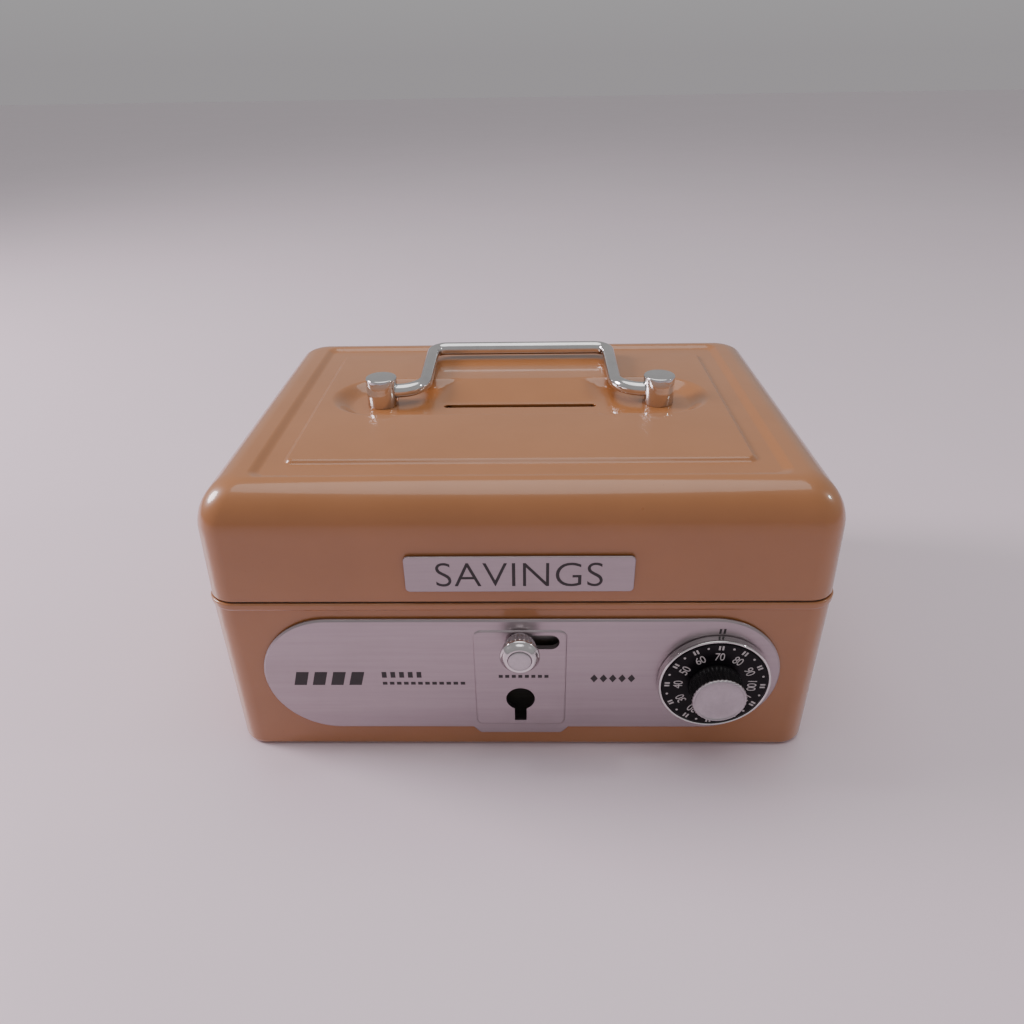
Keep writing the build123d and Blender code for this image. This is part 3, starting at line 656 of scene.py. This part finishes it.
def ramp_height(x, y):
    """The height above the recess's floor of the ramp behind the coin slot, which faces the front."""
    start = SLOT_Y + SLOT_HALF[1] + RAMP_GAP
    rise = max(0.0, min(1.0, (y - start) / (RAMP_BACK - start)))
    if rise < RAMP_EASE:
        rise = rise * rise / (2 * RAMP_EASE)
    else:
        rise = (rise - RAMP_EASE / 2) / (1 - RAMP_EASE / 2)
    side = 1 - smoothstep((abs(x) - RAMP_HALF + 2.5) / 7.5)
    return RECESS_DEPTH * rise * side


def lid_rings(points, drop):
    """Rings of the lid's skin.  drop is the sheet's thickness for the inner skin, and 0 for the outer."""
    floor = RECESS_FLOOR - drop
    rings = []
    for point in points:
        half_x, half_y, radius, z, centre_y, _ = wall_back(point, drop) if drop else point
        ring = rounded_ring(half_x, half_y, radius, z, centre_y)
        if centre_y and z > floor - 0.1:
            ring = [(x, y, max(z, floor + ramp_height(x, y))) for x, y, z in ring]
        rings.append(ring)
    return rings


def make_lid():
    """The pressed lid: one closed sheet, with its outer and inner skins."""
    points = lid_profile()
    outer = lid_rings(points, 0)
    inner = lid_rings(points[2:], SHEET)
    foot = [(x, y, LID_LOW[2]) for x, y, _ in inner[0]]
    bm = bmesh.new()
    add_rings(bm, outer + list(reversed(inner)) + [foot], cyclic=True)
    lid = finish_mesh("lid_skin", bm)
    weight_normals(lid)
    place(lid, "lid", PAINT, ["lid_shell"])


def base_profile():
    """The base's skin, as rings from the underside to the rim and down to the inside floor."""
    bead, bead_height, rim_edge = 0.4, 2.3, 0.35
    floor_inset, floor_corner = 12, 3
    half_x, half_y = BASE_HIGH[0] - bead, BASE_HIGH[1] - bead
    taper = 0.1
    corner = 7.5
    bottom_radius = 1.8
    rim = BASE_HIGH[2]
    points = [(half_x - floor_inset, half_y - floor_inset, floor_corner, 0)]
    points.append((half_x - 4.5, half_y - 4, 4.5, 0))
    steps = 8
    for i in range(steps + 1):
        angle = math.pi / 2 * i / steps
        inset = bottom_radius * (1 - math.sin(angle))
        z = bottom_radius * (1 - math.cos(angle))
        points.append((half_x - taper - inset, half_y - inset, corner - inset * 0.8, z))
    rows = 6
    wall_top = rim - bead_height
    for i in range(1, rows + 1):
        t = i / rows
        z = bottom_radius + (wall_top - bottom_radius) * t
        points.append((half_x - taper * (1 - t), half_y, corner, z))
    steps = 10
    for i in range(1, steps + 1):
        t = i / steps
        out = bead * math.sin(math.pi / 2 * smoothstep(2.2 * t))
        z = wall_top + (rim - rim_edge - wall_top) * t
        points.append((half_x + out, half_y + out, corner + out, z))
    points.append((half_x + bead - 0.12, half_y + bead - 0.12, corner + bead, rim - 0.1))
    points.append((half_x + bead - 0.4, half_y + bead - 0.4, corner, rim))
    points.append((half_x - SHEET, half_y - SHEET, corner - SHEET, rim))
    points.append((half_x - SHEET - taper, half_y - SHEET, corner - SHEET, bottom_radius + 0.4))
    for i in range(1, 5):
        angle = math.pi / 2 * i / 4
        inset = (bottom_radius - SHEET) * (1 - math.cos(angle))
        z = bottom_radius - (bottom_radius - SHEET) * math.sin(angle)
        points.append((half_x - SHEET - taper - inset, half_y - SHEET - inset, corner - SHEET - inset, z))
    points.append((half_x - floor_inset, half_y - floor_inset, floor_corner, SHEET))
    return points


def keyhole_outline(grow):
    """The keyhole: most of a circle, with a straight slot below."""
    radius = KEY_HEAD_RADIUS + grow
    half = KEY_SLOT_HALF + grow
    bite = math.degrees(math.asin(half / radius))
    outline = arc_points((0, KEY_HEAD_Z), radius, -90 + bite, 270 - bite, 40)
    return outline + [(-half, KEY_BOTTOM - grow), (half, KEY_BOTTOM - grow)]


def latch_slot_outline(grow):
    """The slot that the latch knob slides along."""
    radius = LATCH_SLOT_RADIUS + grow
    outline = arc_points((LATCH_TRAVEL, LATCH_Z), radius, -90, 90, 16)
    return outline + arc_points((0, LATCH_Z), radius, 90, 270, 16)


def front_cutters(front, back, grow=0.0):
    """What passes through the front wall and plate: keyhole, latch slot and dial bush."""
    circle = arc_points((DIAL_X, DIAL_Z), BUSH_HOLE_RADIUS, 0, 352, 44)
    return [
        prism_y("cut_key", keyhole_outline(grow), front, back),
        prism_y("cut_latch", latch_slot_outline(grow), front, back),
        prism_y("cut_bush", circle, front, back),
    ]


def make_base():
    """The pressed base, open at the top, with the lock's holes in its front wall."""
    bm = bmesh.new()
    rings = [rounded_ring(x, y, r, z) for x, y, r, z in base_profile()]
    add_rings(bm, rings, cap_first=True, cap_last=True)
    base = finish_mesh("base_skin", bm)
    combine(base, front_cutters(BASE_FRONT - 3, BASE_FRONT + 3, HIDDEN_GAP), "DIFFERENCE")
    weight_normals(base)
    place(base, "base", PAINT, ["base_shell"])


# ---------------------------------------------------------------- front plate and plaque


TAB_TOP_HALF = 13.2
TAB_BOTTOM_HALF = 11.3
PANEL = (-12.3, 12.3, 9.4, 42.8)
PANEL_CORNER = 2.2
PLATE_BEVEL = 0.5
UNDERCUT = 0.3
PLAQUE_PROUD = 0.05
WORD_WIDTH = 41.5


def bevelled_y(name, outline, front, back, bevel):
    """A flat plate whose front edge is bevelled, and whose back edge is drawn in to leave a shadow."""
    bm = bmesh.new()
    rings = []
    count = len(outline)
    normals = []
    for i in range(count):
        before, after = outline[i - 1], outline[(i + 1) % count]
        along = Vector((after[0] - before[0], after[1] - before[1])).normalized()
        normals.append((along.y, -along.x))
    levels = ((bevel + 0.12, front), (bevel, front + 0.02), (0.05, front + bevel * 0.8), (0, front + bevel))
    for inset, y in levels + ((0, back - 0.3), (UNDERCUT, back - 0.2), (UNDERCUT, back)):
        edge = zip(outline, normals)
        rings.append([(x - nx * inset, y, z - nz * inset) for (x, z), (nx, nz) in edge])
    add_rings(bm, rings, cap_first=True, cap_last=True)
    return finish_mesh(name, bm, smooth=False)


def plate_outline():
    """The plate's outline: a stadium with a tab at the middle of its lower edge."""
    left, right = PLATE_LOW[0], PLATE_HIGH[0]
    bottom, top = PLATE_BOTTOM, PLATE_HIGH[2]
    radius = (top - bottom) / 2
    z = (top + bottom) / 2
    outline = arc_points((right - radius, z), radius, -90, 90, 48)
    outline += [(right - radius - (right - left - 2 * radius) * i / 8, top) for i in range(1, 8)]
    outline += arc_points((left + radius, z), radius, 90, 270, 48)
    tab_bottom = PLATE_LOW[2]
    tab = [(-TAB_TOP_HALF, bottom), (-TAB_BOTTOM_HALF - 0.5, tab_bottom + 0.45)]
    tab.append((-TAB_BOTTOM_HALF + 0.2, tab_bottom))
    outline += tab + [(-x, height) for x, height in reversed(tab)]
    return outline


def make_plate():
    """The plate, with its tab and its raised panel, cut for the keyhole, latch and dial."""
    plate = bevelled_y("front_plate_skin", plate_outline(), PLATE_FRONT, BASE_FRONT, PLATE_BEVEL)
    rows = [(0.75, PANEL_FACE), (0.45, PANEL_FACE + 0.04), (0.2, PANEL_FACE + 0.16)]
    rows += [(0.05, PLATE_FRONT - 0.05), (-0.25, PLATE_FRONT + 0.1), (-0.25, PLATE_FRONT + 0.4)]
    bm = bmesh.new()
    left, right, bottom, top = PANEL
    rings = []
    for inset, y in rows:
        sides = (left + inset, right - inset, bottom + inset, top - inset)
        outline = rounded_outline(*sides, PANEL_CORNER - inset)
        rings.append([(x, y, z) for x, z in outline])
    add_rings(bm, rings, cap_first=True, cap_last=True)
    combine(plate, [finish_mesh("raised_panel", bm, smooth=False)], "UNION")
    combine(plate, front_cutters(PANEL_FRONT - 2, BASE_FRONT + 1), "DIFFERENCE")
    soften(plate, 0.08, 20, 2)
    place(plate, "base", PLATE_METAL, ["front_plate"])


def make_plaque():
    """The name plaque on the lid, with a generic word."""
    left, right = PLAQUE_LOW[0], PLAQUE_HIGH[0]
    bottom, top = PLAQUE_LOW[2], PLAQUE_HIGH[2]
    front, back = PLAQUE_LOW[1], PLAQUE_HIGH[1]
    face = front + PLAQUE_PROUD
    plaque = prism_y("name_plaque_skin", rounded_outline(left, right, bottom, top, 1.2), face, back)
    soften(plaque, 0.25)
    place(plaque, "lid", PLAQUE_METAL, ["name_plaque"])
    word = text_mesh("plaque_word", "SAVINGS", 10.4, 0.05, 1.02, -0.10)
    stretch = WORD_WIDTH * MM / word.dimensions.x
    word.data.transform(Matrix.Diagonal((stretch, 1.0, 1.0, 1.0)))
    lay_on_front(word, (left + right) / 2, (bottom + top) / 2, face)
    place(word, "lid", BLACK_INK)


# ---------------------------------------------------------------- text and printed marks


def text_mesh(name, body, size, depth, spacing=1.0, weight=0.0):
    """A word or number as a thin solid, centred on its own origin, in metres."""
    curve = bpy.data.curves.new(name, "FONT")
    curve.body = body
    curve.size = size * MM
    curve.extrude = depth / 2 * MM
    curve.offset = weight * MM
    curve.space_character = spacing
    curve.align_x = "CENTER"
    curve.align_y = "CENTER"
    curve.resolution_u = 6
    holder = bpy.data.objects.new(name, curve)
    bpy.context.scene.collection.objects.link(holder)
    graph = bpy.context.evaluated_depsgraph_get()
    mesh = bpy.data.meshes.new_from_object(holder.evaluated_get(graph))
    bpy.data.objects.remove(holder)
    mesh.name = name
    along = [[vertex.co[i] for vertex in mesh.vertices] for i in range(3)]
    centre = Vector([(min(values) + max(values)) / 2 for values in along])
    mesh.transform(Matrix.Translation(-centre))
    piece = bpy.data.objects.new(name, mesh)
    bpy.context.scene.collection.objects.link(piece)
    return piece


def lay_on_front(piece, x, z, y, turn=0.0):
    """Moves a mesh drawn in X and Y onto a front face.  turn is clockwise, seen from the front."""
    stand = Matrix.Rotation(math.pi / 2, 4, "X")
    spin = Matrix.Rotation(turn, 4, "Y")
    piece.data.transform(Matrix.Translation(Vector((x, y, z)) * MM) @ spin @ stand)


def marks(name, outlines, face):
    """Several thin printed shapes on a face, each an outline in X and Z, as one piece."""
    front, back = face - INK_PROUD, face + INK_SUNK
    bm = bmesh.new()
    for outline in outlines:
        rings = [[(x, y, z) for x, z in outline] for y in (front, back)]
        add_rings(bm, rings, cap_first=True, cap_last=True)
    return finish_mesh(name, bm, smooth=False)


def bar(left, right, bottom, top, slant=0.0):
    """A bar's outline, leaning right by slant at its top."""
    return [(left, bottom), (right, bottom), (right + slant, top), (left + slant, top)]


def row_of(count, left, pitch, width, bottom, top, slant=0.0):
    """The outlines of a row of equal bars."""
    lefts = [left + i * pitch for i in range(count)]
    return [bar(start, start + width, bottom, top, slant) for start in lefts]


def make_plate_marks():
    """Plain ornaments printed on the plate: bars, lozenges and rules, with no lettering."""
    outlines = row_of(4, left=-61.5, pitch=5.0, width=3.4, bottom=24.0, top=28.6, slant=1.2)
    outlines += row_of(5, left=-37.3, pitch=2.35, width=1.3, bottom=26.6, top=28.6)
    outlines += row_of(12, left=-37.3, pitch=1.92, width=1.25, bottom=24.1, top=25.1)
    for i in range(5):
        x = 19.8 + i * 2.5
        outlines.append([(x - 1.0, 26.3), (x, 24.9), (x + 1.0, 26.3), (x, 27.7)])
    place(marks("plate_marks", outlines, PLATE_FRONT), "base", BLACK_INK)
    dashes = row_of(8, left=-5.8, pitch=1.75, width=1.1, bottom=26.9, top=27.9)
    place(marks("panel_marks", dashes, PANEL_FACE), "base", BLACK_INK)
    index = row_of(2, left=DIAL_X - 0.15, pitch=1.1, width=0.6, bottom=41.5, top=43.1, slant=0.1)
    place(marks("index_marks", index, PLATE_FRONT), "base", BLACK_INK)


# ---------------------------------------------------------------- dial


FIGURES = 12
TOP_FIGURE = 70
FIGURE_RADIUS = 9.75
FIGURE_SIZE = 3.5
FACE_SUNK = 0.04
TICK_SPREAD = 0.45
TICK_HALF = 0.24
TICK_FROM, TICK_TO = 11.95, 13.3
DOT_RING = 12.75
DOT_RADIUS = 0.32
FLUTES = 40
DIAL_TURN = math.radians(1.5)


def around_dial(radius, turn):
    """A place on the dial, at a clockwise turn from its top."""
    return DIAL_X + radius * math.sin(turn), DIAL_Z + radius * math.cos(turn)


def turned(outline, turn):
    """An outline drawn above the dial's centre, turned clockwise about it."""
    cos, sin = math.cos(turn), math.sin(turn)
    return [(DIAL_X + x * cos + z * sin, DIAL_Z - x * sin + z * cos) for x, z in outline]


def make_dial():
    """The dial: a black face with figures, in a bright ring."""
    front, back = DIAL_LOW[1], DIAL_HIGH[1]
    face = front + FACE_SUNK
    radius = DIAL_HIGH[0] - DIAL_X
    disc = [(0, back), (radius - 0.3, back), (radius - 0.12, front + 0.5), (radius - 0.2, front + 0.12)]
    disc += [(radius - 0.6, front + 0.05), (9.0, face), (7.6, face), (0, face)]
    place(lathe_y("dial_face", disc, (DIAL_X, DIAL_Z), 128), "dial", BLACK, ["dial_disc"])

    rim_radius = RIM_HIGH[0] - DIAL_X
    rim = [(radius - 0.35, back), (rim_radius, back), (rim_radius, back - 0.25)]
    rim += [(rim_radius - 0.12, front + 1.0), (rim_radius - 0.2, front + 0.35)]
    for i in range(9):
        angle = math.pi * i / 8
        rim.append((rim_radius - 0.42 + 0.36 * math.cos(angle), front + 0.38 - 0.36 * math.sin(angle)))
    rim += [(rim_radius - 0.8, front + 0.5), (radius - 0.35, back)]
    place(lathe_y("dial_ring", rim, (DIAL_X, DIAL_Z), 160), "dial", CHROME, ["dial_rim"])

    printed = []
    for i in range(FIGURES):
        turn = 2 * math.pi * i / FIGURES + DIAL_TURN
        for x in (-TICK_SPREAD, TICK_SPREAD):
            printed.append(turned(bar(x - TICK_HALF, x + TICK_HALF, TICK_FROM, TICK_TO), turn))
        dot = around_dial(DOT_RING, turn + math.pi / FIGURES)
        printed.append(arc_points(dot, DOT_RADIUS, 0, 330, 11))
    place(marks("dial_marks", printed, face), "dial", WHITE_INK)
    for i in range(FIGURES):
        turn = 2 * math.pi * i / FIGURES + DIAL_TURN
        value = (TOP_FIGURE + 10 * i) % (10 * FIGURES)
        figure = text_mesh(f"dial_figure_{value}", str(value), FIGURE_SIZE, 0.05, 0.92)
        figure.data.transform(Matrix.Diagonal((0.82, 1.0, 1.0, 1.0)))
        x, z = around_dial(FIGURE_RADIUS, turn)
        lay_on_front(figure, x, z, face, turn)
        place(figure, "dial", WHITE_INK)


def make_dial_knob():
    """The dial's fluted grip and its bright cap."""
    front, back = GRIP_LOW[1], GRIP_HIGH[1]
    base_radius = GRIP_HIGH[0] - DIAL_X
    length = back - front

    def fluted(radius, y, angle):
        depth = 0.38 * smoothstep((back - 0.5 - y) / 1.2) * smoothstep((radius - 5.6) / 0.6)
        wave = 0.5 - 0.5 * math.cos(FLUTES * angle)
        return radius - depth * wave

    profile = [(0, back), (base_radius - 0.05, back), (base_radius - 0.05, back - 0.4)]
    rows = 8
    for i in range(1, rows + 1):
        t = i / rows
        radius = base_radius - 0.08 - 0.3 * smoothstep(t * 1.2)
        profile.append((radius, back - 0.4 - (length - 0.7) * t))
    profile += [(base_radius - 0.6, front + 0.05), (base_radius - 1.0, front), (0, front)]
    grip = lathe_y("dial_grip", profile, (DIAL_X, DIAL_Z), FLUTES * 10, fluted)
    place(grip, "dial", GRIP_BLACK, ["dial_knob"])

    cap_radius = CAP_HIGH[0] - DIAL_X
    cap_front, cap_back = CAP_LOW[1], CAP_HIGH[1]

    def serrated(radius, y, angle):
        depth = 0.16 * smoothstep((radius - cap_radius + 0.35) / 0.3)
        wave = 0.5 - 0.5 * math.cos(FLUTES * angle)
        return radius - depth * wave

    cap = [(0, cap_back), (cap_radius - 0.15, cap_back), (cap_radius, cap_back - 0.12)]
    cap += [(cap_radius, cap_front + 0.42), (cap_radius - 0.1, cap_front + 0.24)]
    cap += [(cap_radius - 0.32, cap_front + 0.06), (cap_radius - 0.5, cap_front)]
    cap += [(cap_radius - 0.66, cap_front + 0.05), (cap_radius - 0.8, cap_front + 0.2)]
    cap += [(cap_radius - 0.95, cap_front + 0.26), (4.5, cap_front + 0.24), (2.2, cap_front + 0.22)]
    cap += [(0, cap_front + 0.22)]
    cap_piece = lathe_y("dial_knob_cap", cap, (DIAL_X, DIAL_Z), FLUTES * 8, serrated)
    place(cap_piece, "dial", SPUN_METAL, ["dial_cap"])


# ---------------------------------------------------------------- latch knob


def make_latch_knob():
    """A knurled neck that widens to a rounded rim, and narrows again to a bright flat face."""
    front, back = KNOB_LOW[1], KNOB_HIGH[1]
    rim_radius = KNOB_HIGH[0] - LATCH_X - 0.02
    rim_y = back - 4.9
    rim_round = 0.75
    neck_radius, neck_length = 4.1, 0.85
    teeth = 26

    def knurled(radius, y, angle):
        band = smoothstep((back - 0.9 - y) / 0.4) * smoothstep((y - rim_y - 0.6) / 0.4)
        wave = abs(math.sin(teeth * angle / 2))
        return radius - 0.42 * band * (1 - wave)

    profile = [(0, back), (3.7, back), (3.75, back - 0.3), (3.8, back - 0.6)]
    profile.append((neck_radius, back - neck_length))
    for i in range(1, 11):
        t = i / 10
        profile.append((neck_radius + 0.85 * t, back - neck_length - 3.1 * t))
    profile.append((4.8, back - 4.08))
    for i in range(9):
        angle = math.radians(-60 + 120 * i / 8)
        radius = rim_radius - rim_round + rim_round * math.cos(angle)
        profile.append((radius, rim_y - rim_round * math.sin(angle)))
    for i in range(1, 8):
        t = i / 8
        swell = 0.28 * math.sin(math.pi * t)
        radius = rim_radius - 0.4 - 1.45 * t + swell * 0.4
        profile.append((radius, rim_y - 0.65 - 1.55 * t - swell * 0.6))
    profile += [(3.28, front + 0.42), (3.2, front + 0.36), (3.08, front + 0.46), (3.05, front + 0.95)]
    profile.append((0, front + 0.95))
    knob = lathe_y("latch_button", profile, (LATCH_X, LATCH_Z), teeth * 10, knurled)
    place(knob, "latch", KNOB_CHROME, ["latch_knob"])

    face = [(0, front + 0.96), (3.0, front + 0.96), (3.0, front + 0.35), (2.92, front + 0.16)]
    face += [(2.7, front + 0.06), (1.6, front + 0.03), (0, front + 0.02)]
    piece = lathe_y("latch_button_face", face, (LATCH_X, LATCH_Z), 96)
    place(piece, "latch", BUTTON_METAL, ["latch_knob_face"])


# ---------------------------------------------------------------- handle and posts


LOWER_BEND = 8.0
UPPER_BEND = 4.5
LEG_X = 29.3
WIRE_CLEARANCE = 0.08
X_AXIS, Y_AXIS, Z_AXIS = Vector((1, 0, 0)), Vector((0, 1, 0)), Vector((0, 0, 1))


def handle_path():
    """The wire's middle line, lying on the recess's edge: stub, bend, leg, bend, crossbar, and back."""
    stub_x = WIRE_HIGH[0]
    back = HANDLE_REACH
    half = [(stub_x, 0.0)]
    half += [(stub_x - (stub_x - LEG_X - LOWER_BEND) * t / 3, 0.0) for t in range(1, 3)]
    half += arc_points((LEG_X + LOWER_BEND, LOWER_BEND), LOWER_BEND, 270, 180, 14)
    half += [(LEG_X, LOWER_BEND + (back - UPPER_BEND - LOWER_BEND) * t / 4) for t in range(1, 4)]
    half += arc_points((LEG_X - UPPER_BEND, back - UPPER_BEND), UPPER_BEND, 0, 90, 12)
    half += [((LEG_X - UPPER_BEND) * (1 - t / 4), back) for t in range(1, 4)]
    whole = half + [(0.0, back)] + [(-x, y) for x, y in reversed(half)]
    lean = Matrix.Rotation(HANDLE_LIFT, 3, "X")
    pivot = Vector((0, POST_Y, WIRE_Z))
    return [pivot + lean @ Vector((x, y, 0)) for x, y in whole]


def make_handle():
    """The bent wire handle, as one round tube along its middle line."""
    path = handle_path()
    sides = 28
    up = Matrix.Rotation(HANDLE_LIFT, 3, "X") @ Z_AXIS
    rings = []
    for i, point in enumerate(path):
        before = path[max(i - 1, 0)]
        after = path[min(i + 1, len(path) - 1)]
        across = (after - before).normalized().cross(up).normalized()
        rings.append(ring_about(point, across, up, WIRE_RADIUS, sides))
    bm = bmesh.new()
    add_rings(bm, rings, cap_first=True, cap_last=True)
    place(finish_mesh("handle_wire", bm), "handle", CHROME, ["handle_bail"])


def make_posts():
    """The two posts, each with a chamfered top and a hole for the wire."""
    bottom, top = POST_LOW[2], POST_HIGH[2]
    radius = (POST_HIGH[0] - POST_LOW[0]) / 2
    bore_radius = WIRE_RADIUS + WIRE_CLEARANCE
    profile = [(0, bottom), (radius - 0.1, bottom), (radius, bottom + 0.15)]
    profile += [(radius, top - 3.0), (radius, top - 0.4), (radius - 0.06, top - 0.22)]
    profile += [(radius - 0.2, top - 0.07), (radius - 0.4, top), (radius - 1.0, top), (0, top)]
    for side, name in ((-1, "left"), (1, "right")):
        bm = bmesh.new()
        middles = [(r, Vector((side * POST_X, POST_Y, z))) for r, z in profile]
        add_rings(bm, [ring_about(point, X_AXIS, Y_AXIS, r, 72) for r, point in middles])
        post = finish_mesh(f"handle_post_{name}", bm)
        bore = bmesh.new()
        ends = [Vector((side * x, POST_Y, WIRE_Z)) for x in (POST_X - 8, WIRE_HIGH[0] + 0.3)]
        rings = [ring_about(end, Y_AXIS, Z_AXIS, bore_radius, 40) for end in ends]
        add_rings(bore, rings, cap_first=True, cap_last=True)
        combine(post, [finish_mesh("bore", bore)], "DIFFERENCE")
        place(post, "lid", CHROME, [f"post_{name}"])


# ---------------------------------------------------------------- latch spring


SPRING_TURNS = 8
SPRING_WIRE = 0.3
STEPS_A_TURN = 24


def make_spring():
    """The latch's coil spring, fixed at its right end, drawn at its rest length only."""
    low, high = box_mm("latch_spring")
    length = high[0] - low[0] - 2 * SPRING_WIRE
    centre = Vector((low[0] + SPRING_WIRE, (low[1] + high[1]) / 2, (low[2] + high[2]) / 2))
    coil_radius = (high[2] - low[2]) / 2 - SPRING_WIRE
    rings = []
    steps = SPRING_TURNS * STEPS_A_TURN
    for i in range(steps + 1):
        turn = 2 * math.pi * i / STEPS_A_TURN
        out = Vector((0, math.cos(turn), math.sin(turn)))
        point = centre + out * coil_radius + X_AXIS * (length * i / steps)
        rings.append(ring_about(point, out, X_AXIS, SPRING_WIRE, 8))
    bm = bmesh.new()
    add_rings(bm, rings, cap_first=True, cap_last=True)
    spring = finish_mesh("latch_coil", bm)
    place(spring, "base", SPRING_STEEL, ["latch_spring"])
    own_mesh(spring)


# ---------------------------------------------------------------- whole scene


make_camera()
make_stage()
dress_frame()
make_lid()
make_base()
make_plate()
make_plaque()
make_plate_marks()
make_dial()
make_dial_knob()
make_latch_knob()
make_handle()
make_posts()
make_spring()
